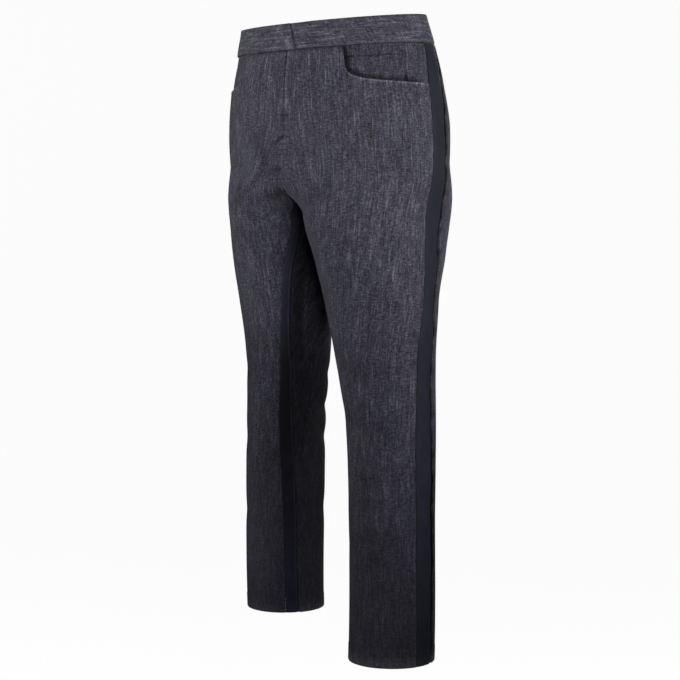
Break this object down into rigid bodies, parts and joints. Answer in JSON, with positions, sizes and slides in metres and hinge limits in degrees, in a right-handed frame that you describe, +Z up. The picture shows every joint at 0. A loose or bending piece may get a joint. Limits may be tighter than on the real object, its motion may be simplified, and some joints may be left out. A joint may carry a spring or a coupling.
{
  "type": "slim fit jeans",
  "caption": "Slim fit ankle-length jeans in dark slubby denim with dark side and inseam stripes, in their worn, hollow shape.",
  "frame": {"origin": "middle of the waist opening, at the height of its top edge at the sides", "axes": "+Z up, the wearer faces -Y, the wearer's left is +X"},
  "size_m": [0.4369, 0.2759, 0.9001],
  "materials": {
    "denim": "dark slubby denim, matte",
    "stripe": "smooth fine-ribbed dark cloth, matte"
  },
  "bodies": {
    "root": {"waistband": "denim", "front_left": "denim", "front_right": "denim", "back_left": "denim", "back_right": "denim", "pocket_facing_left": "denim", "pocket_facing_right": "denim", "side_stripe_left": "stripe", "side_stripe_right": "stripe", "inseam_stripe_left": "stripe", "inseam_stripe_right": "stripe"}
  },
  "joints": []
}
